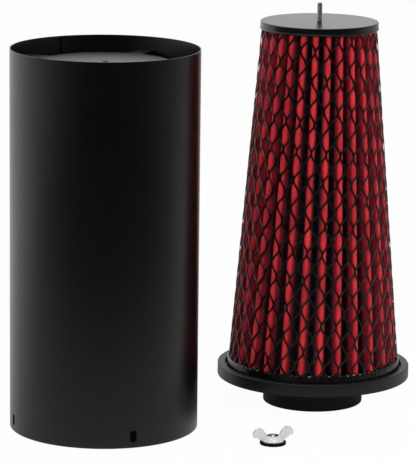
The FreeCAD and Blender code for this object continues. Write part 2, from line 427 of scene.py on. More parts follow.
def select_faces(piece, wanted):
    """In edit mode: select the faces for which wanted(face) is true, and nothing else."""
    bpy.ops.mesh.select_mode(type="FACE")
    bpy.ops.mesh.select_all(action="DESELECT")
    mesh = bmesh.from_edit_mesh(piece.data)
    for face in mesh.faces:
        face.select_set(wanted(face))
    bmesh.update_edit_mesh(piece.data)


def select_vertices(piece, wanted):
    """In edit mode: select the vertices for which wanted(vertex) is true, and nothing else."""
    bpy.ops.mesh.select_all(action="DESELECT")
    mesh = bmesh.from_edit_mesh(piece.data)
    for vertex in mesh.verts:
        vertex.select_set(wanted(vertex))
    mesh.select_flush_mode()
    bmesh.update_edit_mesh(piece.data)


def move_vertices(piece, spot):
    """Move each vertex to spot(its place). Used for bends and wraps that no operator makes."""
    for vertex in piece.data.vertices:
        vertex.co = spot(vertex.co)
    piece.data.update()


def modify(piece, kind, **settings):
    """Add a modifier with its settings and apply it."""
    make_active(piece)
    modifier = piece.modifiers.new(kind.title(), kind)
    for title, value in settings.items():
        setattr(modifier, title, value)
    bpy.ops.object.modifier_apply(modifier=modifier.name)


def combine(piece, tool, operation):
    """Boolean of piece with tool, and the tool is then removed."""
    modify(piece, "BOOLEAN", object=tool, operation=operation, solver="EXACT")
    bpy.data.objects.remove(tool, do_unlink=True)


def join(pieces, name):
    """Make one object of several, under a new name."""
    make_active(pieces[0])
    for piece in pieces[1:]:
        piece.select_set(True)
    bpy.ops.object.join()
    return named(name)


def shade(piece, degrees=35):
    """Shade smooth where faces meet at less than this angle."""
    make_active(piece)
    bpy.ops.object.shade_smooth_by_angle(angle=math.radians(degrees))


def face_outwards(piece):
    """Merge doubles, drop loose corners, and turn every face outwards."""
    edit(piece)
    bpy.ops.mesh.remove_doubles(threshold=0.002 * mm)
    bpy.ops.mesh.delete_loose()
    bpy.ops.mesh.select_all(action="SELECT")
    bpy.ops.mesh.normals_make_consistent(inside=False)
    leave_edit()


def trim(place, normal, fill=True):
    """In edit mode: cut the piece at a plane and remove the side that the normal points to."""
    bpy.ops.mesh.select_all(action="SELECT")
    bpy.ops.mesh.bisect(
        plane_co=place, plane_no=normal, clear_outer=True, use_fill=fill, threshold=0.001 * mm)


def draw_line(name, corners, closed=True):
    """A vertex drawn through the corners, edge by edge. The piece is left in edit mode, all selected."""
    bpy.ops.mesh.primitive_plane_add(size=2 * mm, location=(0, 0, 0))
    piece = named(name)
    edit(piece)
    bpy.ops.mesh.merge(type="CENTER")
    bpy.ops.transform.translate(value=corners[0])
    for before, after in zip(corners, corners[1:]):
        bpy.ops.mesh.extrude_region_move(TRANSFORM_OT_translate={"value": after - before})
    if closed:
        ends = (corners[0], corners[-1])
        select_vertices(piece, lambda v: min((v.co - end).length for end in ends) < 0.001 * mm)
        bpy.ops.mesh.edge_face_add()
    bpy.ops.mesh.select_all(action="SELECT")
    return piece


def draw_slab(name, corners, thickness):
    """An outline in the XZ plane, filled and thickened along Y."""
    piece = draw_line(name, corners)
    bpy.ops.mesh.edge_face_add()
    bpy.ops.mesh.select_all(action="SELECT")
    bpy.ops.mesh.extrude_region_move(TRANSFORM_OT_translate={"value": (0, thickness, 0)})
    leave_edit()
    face_outwards(piece)
    return piece


def stand(piece, place, bearing):
    """Turn a piece's mesh from +X to a bearing, and move it to its place."""
    piece.data.transform(Matrix.Translation(place) @ Matrix.Rotation(bearing, 4, "Z"))


def round_edges(piece, width, steps, degrees):
    """Round the edges where faces meet at more than this angle."""
    modify(piece, "BEVEL", width=width, segments=steps, limit_method="ANGLE",
           angle_limit=math.radians(degrees))


def turned_piece(name, outline, axis, steps, edge=0.0, edge_steps=3):
    """A closed outline of (radius, height) corners spun about an upright axis. edge rounds its corners."""
    piece = draw_line(name, [axis + Vector((radius, 0, height)) for radius, height in outline])
    bpy.ops.mesh.spin(steps=steps, angle=full_turn, center=axis, axis=(0, 0, 1))
    leave_edit()
    face_outwards(piece)
    if edge:
        round_edges(piece, edge, edge_steps, 30)
    shade(piece)
    return piece


def dress(piece, finish, slot, *nodes):
    """Give a piece its finish, put it on the body, and hide the CAD nodes that it stands for."""
    piece.data.materials.clear()
    piece.data.materials.append(finish.material)
    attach(piece, "root")
    if nodes:
        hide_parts(*nodes)
    return piece


def bearing_vector(bearing):
    """A level step of length 1 towards a bearing, which is counted from +X to +Y."""
    return Vector((math.cos(bearing), math.sin(bearing), 0))


# Finishes

def powder_coat(name, colour, roughness, gloss=1.5):
    """Black powder coat: a fine orange peel with faint drifts in gloss."""
    finish = Finish(name, IOR=gloss)
    cloud = finish.noise(scale=9, detail=4)
    speck = finish.noise(scale=1400, detail=2)
    finish.set("Base Color", finish.blend(cloud, grey(colour * 0.85), grey(colour * 1.15)))
    finish.set("Roughness", finish.about(roughness, (cloud, 0.06), (speck, 0.05)))
    peel = finish.noise(scale=420, detail=2)
    finish.set("Normal", finish.bump(peel + speck * 0.3, distance=0.02 * mm))
    return finish


def zinc_plate(name, colour, roughness, scratch_scale=(1, 1, 1)):
    """Zinc plated steel, with fine scratches and a cloudy gloss."""
    finish = Finish(name, Metallic=1.0)
    cloud = finish.noise(scale=160, detail=4)
    grain = finish.noise(scale=2200, detail=2, stretch=scratch_scale)
    finish.set("Base Color", finish.blend(cloud, grey(colour * 0.88), grey(min(colour * 1.06, 1))))
    finish.set("Roughness", finish.about(roughness, (cloud, 0.14), (grain, 0.08)))
    finish.set("Normal", finish.bump(grain, distance=0.03 * mm, strength=0.5))
    return finish


def cast_zinc():
    """Tumbled zinc casting: pale and dull, with fine rubbed lines, and darker metal in its bore and
    countersink.
    """
    finish = Finish("nut_finish")
    cloud = finish.noise(scale=240, detail=4)
    grain = finish.noise(scale=1500, detail=3, stretch=(0.35, 1, 1))
    inside = countersink_radius - 0.9 * mm
    outside = countersink_radius + 0.3 * mm
    cast = finish.reach(nut_axis).between(inside, outside)
    rubbed = finish.noise(scale=420, detail=2, stretch=(0.5, 1, 3))
    dull = (0.72, 0.73, 0.72, 1)
    pale = (1.0, 1.0, 0.99, 1)
    # Darker colour in the bore and countersink
    bore_grey = grey(0.22)
    skin = finish.blend(cloud * 0.5 + rubbed * 0.5, dull, pale)
    finish.set("Base Color", finish.blend(cast, bore_grey, skin))
    finish.set("Metallic", 1 - cast * 0.5)
    finish.set("Roughness", cast * 0.14 + finish.about(0.23, (cloud, 0.14), (grain, 0.08)))
    finish.set("Normal", finish.bump(grain + cloud * 0.8, distance=0.02 * mm, strength=0.5))
    return finish


def moulded_rubber(name, colour, roughness, gloss=1.48):
    """Moulded polyurethane: a dull skin with faint flow marks and pinholes."""
    finish = Finish(name, IOR=gloss)
    flow = finish.noise(scale=55, detail=5, stretch=(1, 1, 4))
    pores = finish.noise(scale=900, detail=2)
    finish.set("Base Color", finish.blend(flow, grey(colour * 0.75), grey(colour * 1.3)))
    finish.set("Roughness", finish.about(roughness, (flow, 0.16), (pores, 0.08)))
    finish.set("Normal", finish.bump(flow * 0.8 + pores * 0.2, distance=0.15 * mm, strength=0.6))
    return finish


def glossy_potting():
    """Potting compound that set with a wet look, with painted glints where the sleeve's strands go in."""
    finish = Finish("potting_finish", IOR=1.42)
    drift = finish.noise(scale=70, detail=3)
    reach = finish.reach(element_axis)
    past_start = reach.between(foot_from, foot_from + foot_edge)
    past_end = reach.between(foot_to, foot_to + foot_edge)
    by_strands = past_start * (1 - past_end)
    # Pale specks in the colour are painted glints, standing in for highlights at the strands' feet
    painted_glints = finish.noise(scale=270, detail=1).between(0.59, 0.67) * by_strands
    black = finish.blend(drift, grey(0.0015), grey(0.004))
    finish.set("Base Color", finish.blend(painted_glints, black, grey(0.22)))
    finish.set("Roughness", drift.between(0.35, 0.65) * 0.22 + 0.08)
    finish.set("Normal", finish.bump(finish.noise(scale=240, detail=3), distance=0.7 * mm))
    return finish


def oiled_gauze():
    """Red cotton gauze over wire: a fine weave that follows the surface, with oil-dark drifts and painted
    shade in the folds.
    """
    finish = Finish("media_finish", IOR=1.45)
    uv = finish.node("ShaderNodeTexCoord", output="UV")
    across = finish.node("ShaderNodeSeparateXYZ", None, {"Vector": uv}, output="X")
    along = finish.node("ShaderNodeSeparateXYZ", None, {"Vector": uv}, output="Y")
    threads_per_metre = 900
    warp = (across * (threads_per_metre * full_turn)).math("SINE")
    weft = (along * (threads_per_metre * full_turn)).math("SINE")
    weave = warp.math("MAXIMUM", weft)
    drift = finish.noise(scale=38, detail=4, stretch=(1, 1, 0.35))
    fibre = finish.noise(scale=700, detail=3)
    depth = finish.node("ShaderNodeAttribute", {"attribute_name": "fold_depth"}, output="Fac")
    deep = (0.42, 0.005, 0.013, 1)
    bright = (0.76, 0.025, 0.032, 1)
    wall = (0.27, 0.005, 0.018, 1)
    valley_shade = (0.006, 0.0015, 0.003, 1)
    shade_of_red = finish.blend((drift * 0.55 + fibre * 0.45).between(0.34, 0.66), deep, bright)
    unevenness = 0.14
    # Painted shade by fold depth: walls dark, valley floors near black, and only the crests keep the cloth's
    # red
    level = depth + drift * unevenness - unevenness / 2
    shaded_folds = finish.blend(level.between(0.3, 0.66), valley_shade, wall)
    finish.set("Base Color", finish.blend(level.between(0.74, 0.95), shaded_folds, shade_of_red))
    finish.set("Roughness", 0.62 + fibre * 0.25)
    finish.set("Normal", finish.bump(weave * 0.5 + fibre, distance=0.12 * mm, strength=0.6))
    finish.shader.inputs["Sheen Weight"].default_value = 0.08
    finish.shader.inputs["Sheen Roughness"].default_value = 0.5
    return finish


# Canister

def cut_drains(shell):
    """Four upright slots with round ends, through the canister's wall."""
    for i in range(drain_count):
        bearing = drain_bearing + i * full_turn / drain_count
        bpy.ops.mesh.primitive_cube_add(size=1, location=(0, 0, 0))
        cutter = named("drain_cutter")
        edit(cutter)
        bpy.ops.transform.resize(value=(drain_cutter_length, drain_width, drain_height))
        mesh = bmesh.from_edit_mesh(cutter.data)
        bpy.ops.mesh.select_mode(type="EDGE")
        bpy.ops.mesh.select_all(action="DESELECT")
        for side in mesh.edges:
            ends = [v.co for v in side.verts]
            side.select_set(abs(ends[0].x - ends[1].x) > drain_width)
        bmesh.update_edit_mesh(cutter.data)
        bpy.ops.mesh.bevel(offset=drain_round, segments=drain_round_steps, affect="EDGES")
        leave_edit()
        place = canister_axis + bearing_vector(bearing) * canister_radius
        place.z = drain_above_edge + drain_height / 2
        stand(cutter, place, bearing)
        combine(shell, cutter, "DIFFERENCE")


def make_seam():
    """The weld's bead down the inside of the canister, with faint ripples."""
    inner_radius = canister_radius - canister_wall
    bpy.ops.mesh.primitive_grid_add(x_subdivisions=seam_columns, y_subdivisions=seam_rows, size=1)
    seam = named("canister_seam")

    def spot(p):
        across = p.x * seam_width
        height = (p.y + 0.5) * (canister_height - 2 * canister_edge) + canister_edge
        crown = math.cos(p.x * math.pi) ** 0.5 if abs(p.x) < 0.5 else 0.0
        ripple = seam_ripple * math.sin(height / seam_ripple_length) * crown
        reach = inner_radius + seam_sink - seam_rise * (crown + ripple)
        bearing = seam_bearing + across / inner_radius
        return canister_axis + bearing_vector(bearing) * reach + Vector((0, 0, height))

    move_vertices(seam, spot)
    # The bead gets its back inside the wall
    modify(seam, "SOLIDIFY", thickness=seam_backing, offset=1)
    face_outwards(seam)
    return seam


def make_canister(finish):
    """The open tube with its four drain slots and the weld's bead inside."""
    outer = canister_radius
    inner = canister_radius - canister_wall
    # Rings of edges below and above the slots keep the cuts out of the rest of the wall
    band_low = drain_above_edge - drain_margin
    band_high = drain_above_edge + drain_height + drain_margin
    shell = turned_piece("canister", [
        (inner, 0),
        (outer, 0),
        (outer, band_low),
        (outer, band_high),
        (outer, canister_height),
        (inner, canister_height),
        (inner, band_high),
        (inner, band_low),
    ], canister_axis, canister_steps, canister_edge)
    cut_drains(shell)
    canister = join([shell, make_seam()], "canister")
    shade(canister, degrees=30)
    return dress(canister, finish, "canister_paint", "canister_shell")


# Inlet plate

def make_arm(bearing):
    """A strip from the disc to the wall, its end bent down as a tab. Its side is drawn and then widened."""
    wall = canister_radius - canister_wall - arm_clearance
    start = plate_radius - arm_width / 2
    centre = Vector((wall - bend_radius, -arm_width / 2, plate_top - bend_radius))
    swings = [math.pi / 2 * (1 - i / bend_steps) for i in range(bend_steps + 1)]
    turns = [Vector((math.cos(swing), 0, math.sin(swing))) for swing in swings]
    top = [centre + turn * bend_radius for turn in turns]
    under = [centre + turn * (bend_radius - plate_sheet) for turn in reversed(turns)]
    arm = draw_slab("arm", [
        Vector((start, centre.y, plate_top)),
        *top,
        Vector((wall, centre.y, tab_low)),
        Vector((wall - plate_sheet, centre.y, tab_low)),
        *under,
        Vector((start, centre.y, plate_top - plate_sheet)),
    ], arm_width)
    stand(arm, canister_axis, bearing)
    return arm


def make_plate(finish):
    """The disc with its four arms."""
    plate = turned_piece("plate", [
        (plate_hole_radius, plate_top - plate_sheet),
        (plate_radius, plate_top - plate_sheet),
        (plate_radius, plate_top),
        (plate_hole_radius, plate_top),
    ], canister_axis, plate_steps)
    # The arms stand midway between the drain slots
    first = drain_bearing + full_turn / (2 * drain_count)
    for i in range(arm_count):
        combine(plate, make_arm(first + i * full_turn / arm_count), "UNION")
    round_edges(plate, plate_edge, 2, 40)
    shade(plate, degrees=30)
    return dress(plate, finish, "canister_paint", "inlet_plate")


# Neck, flange and potting

def make_flange(finish):
    """The outlet neck and the round lip that the canister closes on, moulded in one."""
    lip_inner = flange_radius - lip_width
    groove_floor = flange_top - groove_depth
    flange = turned_piece("neck_and_flange", [
        (neck_bore_radius, 0),
        (neck_radius, 0),
        (neck_radius, neck_length),
        (flange_radius, neck_length),
        (flange_radius, flange_top),
        (lip_inner, flange_top),
        (lip_inner, groove_floor),
        (seat_inner_radius, groove_floor),
        (seat_inner_radius, flange_top),
        (neck_bore_radius, flange_top),
    ], element_axis, flange_steps, flange_round, 4)
    return dress(flange, finish, "flange_rubber", "base_flange")


def make_potting(finish):
    """The lower ring of potting, with an uneven top that climbs the sleeve's strands."""
    ring = turned_piece("lower_potting", [
        (potting_inner_radius, potting_low),
        (potting_radius, potting_low),
        (potting_radius, potting_top - potting_lip),
        (potting_radius - 0.5 * mm, potting_top - 0.6 * potting_lip),
        (potting_radius - 1.4 * mm, potting_top),
        (mesh_base_radius - 2.8 * mm, potting_top),
        (mesh_base_radius - 6 * mm, potting_top),
        (potting_inner_radius, potting_top),
    ], element_axis, potting_steps)

    def spot(p):
        flat = Vector((p.x, p.y, 0))
        radius = flat.length
        # The underside, the sides and the border stay as they were turned
        if p.z < potting_top - 1.05 * potting_lip or radius < potting_inner_radius + potting_border:
            return p
        swell = noise.noise(p / wave_length) + ripple_share * noise.noise(p / ripple_length)
        drop = noise.noise(flat / drop_length)
        near_sleeve = max(0.0, 1 - abs(radius - mesh_base_radius + climb_inset) / climb_width)
        climb = (drop_height * max(drop, 0) + climb_height) * near_sleeve
        return Vector((p.x, p.y, p.z + wave_height * swell + climb))

    move_vertices(ring, spot)
    shade(ring, degrees=60)
    return dress(ring, finish, "potting_black", "base_potting")


# Sleeve

cone_slope = math.atan((mesh_base_radius - cone_top_radius) / (media_high - media_low))
apex_level = media_low + mesh_base_radius / math.tan(cone_slope)


def cone_radius(share):
    """The sleeve's radius at a share of the way up from the potting to the cap."""
    return mesh_base_radius + (cone_top_radius - mesh_base_radius) * share


def unrolled(bearing, level):
    """Where a point of the cone lies on the flat sheet: the apex is the origin, and Y runs down the grain."""
    reach = (apex_level - level) / math.cos(cone_slope)
    turn = (bearing - grain_bearing) * math.sin(cone_slope)
    return Vector((reach * math.sin(turn), reach * math.cos(turn), 0))


def rolled(p, lift):
    """The opposite: a point of the flat sheet on the cone, lifted off its face by lift."""
    reach = math.hypot(p.x, p.y)
    bearing = grain_bearing + math.atan2(p.x, p.y) / math.sin(cone_slope)
    lap = max(0.0, bearing - (sleeve_seam_bearing - sleeve_lap)) / sleeve_lap
    out = lift - sheet_depth + sleeve_lap_rise * min(lap, 1.0)
    radius = reach * math.sin(cone_slope) + out * math.cos(cone_slope)
    level = apex_level - reach * math.cos(cone_slope) + out * math.sin(cone_slope)
    return element_axis + bearing_vector(bearing) * radius + Vector((0, 0, level))


def strand_line(share):
    """Half the gap's width at a share of the way from its middle to its tip: the strands run in waves."""
    straight = 1 - share
    return gap_width / 2 * (straight - strand_waviness * math.sin(full_turn * straight))


def make_gap_frame():
    """One diamond gap: a ring of faces from its strands' middle lines in to their edges."""
    sides = 4 * gap_points
    bpy.ops.mesh.primitive_circle_add(
        vertices=sides, radius=gap_width / 2, fill_type="NGON", location=(0, 0, 0))
    cell = named("gap_frame")
    edit(cell)
    bpy.ops.mesh.inset(thickness=strand_width / 4)
    select_faces(cell, lambda f: len(f.verts) == sides)
    bpy.ops.mesh.delete(type="ONLY_FACE")
    leave_edit()
    # Between the circle and its inset copy
    middle = gap_width / 2 - strand_width / 8

    def spot(p):
        """The circle's points, spread evenly over the height of a diamond with wavy sides."""
        step = round(math.atan2(p.x, p.y) / full_turn * sides)
        share = abs(1 - abs(step) / gap_points)
        side = 0 if abs(step) in (0, 2 * gap_points) else math.copysign(1, step)
        end = (abs(step) < gap_points) - (abs(step) > gap_points)
        half_height = gap_height / 2
        if p.length > middle:
            return Vector((side * strand_line(share), end * share * half_height, 0))
        level = share * (1 - knuckle_height / gap_height)
        nudge = 0.02
        slope = (strand_line(level + nudge) - strand_line(level - nudge)) / (2 * nudge)
        lean = math.hypot(slope, half_height) / half_height
        width = strand_line(level) - strand_width / 2 * lean
        return Vector((side * max(width, 0.0), end * level * half_height, 0))

    move_vertices(cell, spot)
    return cell


def make_sleeve(finish):
    """A flat sheet of diamond gaps, cut to the cone's pattern, rolled up with a lap and thickened."""
    cell = make_gap_frame()
    knuckle = unrolled(knuckle_bearing, knuckle_level)
    low_reach = (apex_level - media_high) / math.cos(cone_slope)
    high_reach = (apex_level - media_low) / math.cos(cone_slope)
    first_turn = (sleeve_seam_bearing - full_turn - sleeve_lap - grain_bearing) * math.sin(cone_slope)
    last_turn = (sleeve_seam_bearing - grain_bearing) * math.sin(cone_slope)
    columns_left = math.ceil((knuckle.x - high_reach * math.sin(first_turn)) / gap_width) + spare_cells
    columns_right = math.ceil((high_reach * math.sin(last_turn) - knuckle.x) / gap_width) + spare_cells
    rows_up = math.ceil((knuckle.y - low_reach * math.cos(last_turn)) / gap_height) + spare_cells
    rows_down = math.ceil((high_reach - knuckle.y) / gap_height) + spare_cells
    # Each knuckle is the tip of a gap, so the gaps' middles lie half a height below and beside it
    start = knuckle + Vector((-columns_left * gap_width, -(rows_up - 0.5) * gap_height, 0))
    second = cell.copy()
    second.data = cell.data.copy()
    bpy.context.scene.collection.objects.link(second)
    second.data.transform(Matrix.Translation((gap_width / 2, gap_height / 2, 0)))
    sleeve = join([cell, second], "sleeve")
    across = (columns_left + columns_right, (gap_width, 0, 0))
    down = (rows_up + rows_down, (0, gap_height, 0))
    for count, step in (across, down):
        modify(sleeve, "ARRAY", count=count, use_relative_offset=False, use_constant_offset=True,
               constant_offset_displace=step)
    sleeve.data.transform(Matrix.Translation(start))
    edit(sleeve)
    bpy.ops.mesh.remove_doubles(threshold=cell_merge)
    # The flat sheet is cut to the cone's pattern with a little to spare, and trimmed level once rolled
    for turn, outwards in ((first_turn, -1), (last_turn, 1)):
        trim((0, 0, 0), Vector((math.cos(turn), -math.sin(turn), 0)) * outwards, fill=False)
    nearest = low_reach - pattern_slack
    furthest = high_reach + pattern_slack
    select_vertices(sleeve, lambda v: not nearest < v.co.length < furthest)
    bpy.ops.mesh.delete(type="VERT")
    leave_edit()
    roll_sleeve(sleeve, knuckle)
    edit(sleeve)
    trim((0, 0, media_low - sleeve_cast_in), (0, 0, -1), fill=False)
    trim((0, 0, media_high + sleeve_cast_in), (0, 0, 1), fill=False)
    leave_edit()
    face_outwards(sleeve)
    modify(sleeve, "SOLIDIFY", thickness=sheet_thickness, offset=0, use_even_offset=False)
    shade(sleeve, degrees=40)
    return dress(sleeve, finish, "mesh_paint", "outer_mesh")


def roll_sleeve(sleeve, knuckle):
    """Roll the flat sheet up. Every strand leans: one of its edges stands out, and the other lies in."""

    def spot(p):
        row = (p.y - knuckle.y) / gap_height
        column = (p.x - knuckle.x) / gap_width
        # The offset from the nearest gap's middle tells an upper edge from a lower one
        a = Vector((column - round(column), row - 0.5 - round(row - 0.5)))
        b = Vector((column - 0.5 - round(column - 0.5), row - round(row)))
        nearest = a if abs(a.x) + abs(a.y) < abs(b.x) + abs(b.y) else b
        inside = max(0.0, 0.5 - abs(nearest.x) - abs(nearest.y))
        if abs(nearest.y) <= lean_rest:
            return rolled(p, 0.0)
        lean = min(inside / lean_run, 1.0) * math.copysign(1, nearest.y)
        return rolled(p, lean * strand_tilt)

    move_vertices(sleeve, spot)


# Pleated media

def make_media(finish):
    """One folded sheet, closed in a ring, that leans and sways a little as it rises."""
    per_pleat = 2 * fold_points
    count = pleat_count * per_pleat
    bpy.ops.mesh.primitive_circle_add(vertices=count, radius=1, location=(0, 0, 0))
    media = named("pleats")
    edit(media)
    low = media_low - sleeve_cast_in
    high = media_high + sleeve_cast_in
    step = (high - low) / pleat_levels
    for _ in range(pleat_levels):
        bpy.ops.mesh.extrude_region_move(TRANSFORM_OT_translate={"value": (0, 0, 1)})
    leave_edit()
    pitch = full_turn / pleat_count

    def sway_of(pleat):
        """How far the pleats swing to one side and back round the ring."""
        return pleat_sway * math.sin(full_turn * (pleat - sway_start) / sway_pleats)

    def spot(p):
        level = low + round(p.z) * step
        share = (level - media_low) / (media_high - media_low)
        index = round(math.atan2(p.y, p.x) / full_turn * count) % count
        pleat, place = divmod(index, per_pleat)
        reach = cone_radius(share) - 2 * sheet_depth - media_clearance
        wander = noise.noise(Vector((pleat * wander_steps[0], share * wander_steps[1], 0)))
        dent = noise.noise(Vector((pleat * dent_steps[0], share * dent_steps[1], dent_layer)))
        reach += min(0.0, crest_dent * dent)
        sway = sway_of(pleat)
        crest = pleat_bearing + pleat_twist * share + pleat * pitch + sway + pleat_wander * wander
        if place < fold_points:
            swing = pleat_wrap * (2 * place / (fold_points - 1) - 1)
            centre = bearing_vector(crest) * (reach - crest_round)
            flat = centre + bearing_vector(crest + swing) * crest_round
        else:
            valley = crest + pitch / 2 + (sway_of(pleat + 1) - sway) / 2
            swing = pleat_wrap * (2 * (place - fold_points) / (fold_points - 1) - 1)
            centre = bearing_vector(valley) * (reach - pleat_depth + pleat_sheet + valley_round)
            flat = centre + bearing_vector(valley + math.pi - swing) * valley_round
        return element_axis + Vector((flat.x, flat.y, level))

    add_cloth_map(media, count, step)
    move_vertices(media, spot)
    add_depth(media)
    edit(media)
    bpy.ops.mesh.normals_make_consistent(inside=False)
    leave_edit()
    modify(media, "SOLIDIFY", thickness=pleat_sheet, offset=-1)
    shade(media, degrees=70)
    return dress(media, finish, "media_red", "pleated_media")


def add_depth(media):
    """0 at the bottom of a fold and 1 on its crest, for the painted shade that darkens the folds."""
    layer = media.data.attributes.new("fold_depth", "FLOAT", "POINT")
    for vertex in media.data.vertices:
        share = (vertex.co.z - media_low) / (media_high - media_low)
        radius = math.hypot(vertex.co.x, vertex.co.y)
        layer.data[vertex.index].value = 1 - min((cone_radius(share) - radius) / pleat_depth, 1)


def add_cloth_map(media, count, step):
    """UV in metres along the folded sheet, so that the weave follows the folds."""
    layer = media.data.uv_layers.new(name="cloth")
    for polygon in media.data.polygons:
        spots = []
        for corner in polygon.loop_indices:
            p = media.data.vertices[media.data.loops[corner].vertex_index].co
            index = round(math.atan2(p.y, p.x) / full_turn * count) % count
            spots.append([corner, index, round(p.z)])
        # The face that closes the ring has its first corners counted on past the last
        if max(s[1] for s in spots) - min(s[1] for s in spots) > count / 2:
            for s in spots:
                s[1] += count if s[1] < count / 2 else 0
        for corner, index, row in spots:
            layer.data[corner].uv = (index * cloth_spacing, row * step)


# Cap and stud

def make_cap(finish):
    """A pressed pan with a rounded shoulder, and a bead rolled out at its lower edge."""
    skirt = cap_outer_radius - bead_width
    inner = skirt - cap_sheet
    bead = []
    for i in range(bead_points + 1):
        swing = math.pi * (i / bead_points - 0.5)
        radius = skirt + bead_width * math.cos(swing)
        bead.append((radius, skirt_low + bead_height / 2 * (1 + math.sin(swing))))
    cap = turned_piece("cap", [
        (stud_hole_radius, cap_top - cap_sheet),
        (inner, cap_top - cap_sheet),
        (inner, skirt_low),
        *bead,
        (skirt, cap_top),
        (stud_hole_radius, cap_top),
    ], element_axis, cap_steps)
    near = 0.1 * mm
    edit(cap)
    select_vertices(cap, lambda v: v.co.xy.length > skirt - near and v.co.z > cap_top - near)
    bpy.ops.mesh.bevel(offset=cap_round, segments=cap_round_steps, affect="EDGES")
    leave_edit()
    round_edges(cap, cap_edge, 3, 40)
    shade(cap)
    return dress(cap, finish, "cap_paint", "top_cap")


def make_thread(low, high):
    """A threaded rod: one pitch of the thread's profile, screwed up the rod and cut level at both ends."""
    root = stud_radius - thread_depth
    spare_turns = 2
    start = low - spare_turns * thread_pitch
    rise, crest, fall = thread_shares
    profile = [(root, 0), (root, rise), (stud_radius, crest), (stud_radius, fall), (root, 1)]
    corners = [Vector((radius, 0, start + share * thread_pitch)) for radius, share in profile]
    rod = draw_line("threaded_rod", corners, closed=False)
    leave_edit()
    turns = math.ceil((high - low) / thread_pitch) + spare_turns + 1
    modify(rod, "SCREW", angle=full_turn, screw_offset=thread_pitch, iterations=turns, steps=thread_steps,
           render_steps=thread_steps, use_merge_vertices=True, merge_threshold=thread_merge)
    edit(rod)
    bpy.ops.mesh.remove_doubles(threshold=thread_merge)
    trim((0, 0, low), (0, 0, -1))
    trim((0, 0, high), (0, 0, 1))
    leave_edit()
    face_outwards(rod)
    rod.data.transform(Matrix.Translation(element_axis))
    shade(rod, degrees=40)
    return rod


def make_stud(finish):
    """The hex bolt: its head under the cap's load plate, and a thread up to a chamfered end."""
    rod_top = stud_top - tip_height
    rod = make_thread(stud_low + bolt_head_height - stud_overlap, rod_top)
    tip = turned_piece("stud_tip", [
        (0, rod_top - stud_overlap),
        (stud_radius - tip_foot, rod_top - stud_overlap),
        (stud_radius - tip_end, stud_top),
        (0, stud_top),
    ], element_axis, thread_steps)
    corner_radius = bolt_flats / 2 / math.cos(math.pi / 6)
    bpy.ops.mesh.primitive_cylinder_add(
        vertices=6, radius=corner_radius, depth=bolt_head_height, location=(0, 0, 0))
    head = named("bolt_head")
    head_middle = Vector((0, 0, stud_low + bolt_head_height / 2))
    head.data.transform(Matrix.Translation(element_axis + head_middle))
    modify(head, "BEVEL", width=bolt_head_round, segments=2)
    stud = join([rod, tip, head], "stud")
    shade(stud, degrees=40)
    return dress(stud, finish, "stud_zinc", "mounting_stud")


# Wing nut and washer

def make_ear(side):
    """One ear: its outline is drawn, filled and thickened, and turned to its side of the hub."""
    corners = [Vector((out * mm, -wing_thickness / 2, washer_top + up * mm)) for out, up in ear_outline]
    ear = draw_slab("ear", corners, wing_thickness)
    stand(ear, nut_axis, nut_turn + (0 if side > 0 else math.pi))
    return ear


def make_wing_nut(finish):
    """Hub and ears in one: remeshed and smoothed, so that the corners fill as in a casting, then bored."""
    low = washer_top
    high = low + nut_height
    nut = turned_piece("cast_nut", [
        (0, low),
        (nut_base_radius, low),
        (nut_base_radius, low + nut_base_rim),
        (nut_top_radius, high - nut_shoulder_height),
        (nut_top_radius - nut_shoulder_width, high),
        (0, high),
    ], nut_axis, nut_steps)
    for side in (1, -1):
        combine(nut, make_ear(side), "UNION")
    modify(nut, "REMESH", mode="VOXEL", voxel_size=nut_voxel)
    modify(nut, "SMOOTH", factor=0.5, iterations=6)
    bore = turned_piece("nut_bore", [
        (0, low - bore_reach),
        (nut_bore_radius, low - bore_reach),
        (nut_bore_radius, high - countersink_depth),
        (countersink_radius * 0.72, high - countersink_depth * 0.75),
        (countersink_radius * 0.95, high - 0.8 * mm),
        (countersink_radius * 1.12, high + bore_reach),
        (0, high + bore_reach),
    ], nut_axis, bore_steps)
    combine(nut, bore, "DIFFERENCE")
    shade(nut, degrees=50)
    return dress(nut, finish, "nut_zinc", "wing_nut")


def make_washer(finish):
    """The rubber ring that the nut stands on."""
    washer = turned_piece("washer", [
        (washer_bore_radius, 0),
        (washer_radius, 0),
        (washer_radius, washer_top),
        (washer_bore_radius, washer_top),
    ], nut_axis, washer_steps, washer_round, 4)
    return dress(washer, finish, "washer_rubber", "sealing_washer")


# Studio

view_pitch = 0.206
view_roll = -0.012
view_place = (-0.1644, -4.5186, 1.2072)
frame_height = 463
focal_pixels = 3017.3
sensor_width = 36.0
floor_size = 16
floor_drop = 0.3 * mm
# How much light glossy surfaces see on the paper, from floor_front before the object to floor_back behind
floor_front = 2.5
floor_back = 1.0
floor_falloff = [
    (0.08, 0.04), (0.23, 0.08), (0.37, 0.22), (0.49, 0.38),
    (0.6, 0.46), (0.67, 0.65), (0.8, 0.85), (1.0, 1.0),
]
# The same for the room, from straight in front to straight behind
wall_falloff = [
    (0.03, 0.03), (0.12, 0.12), (0.24, 0.3), (0.32, 0.5),
    (0.42, 0.63), (0.51, 0.7), (0.62, 0.88), (0.74, 1.0),
]
# How much of that light is lost in a painted shadow under the flange, and off to the right
flange_shadow = 0.85
floor_right_loss = 0.38
wall_right_loss = 0.62
paper_white = 0.9
painted_shade_in_canister = 0.03
paper_glow = 0.97
room_fill = 0.35
lamp_target = (-0.1, 0, 0.3)
# Name, place, width and height, watts, and whether glossy surfaces see it
lamps = [
    ("key_softbox", (-1.6, -3.2, 2.2), (0.9, 1.4), 60, False),
    ("fill_softbox", (2.6, -1.6, 1.6), (0.8, 1.6), 40, False),
    ("top_softbox", (-0.1, 0.2, 3.2), (1.6, 1.2), 30, True),
]


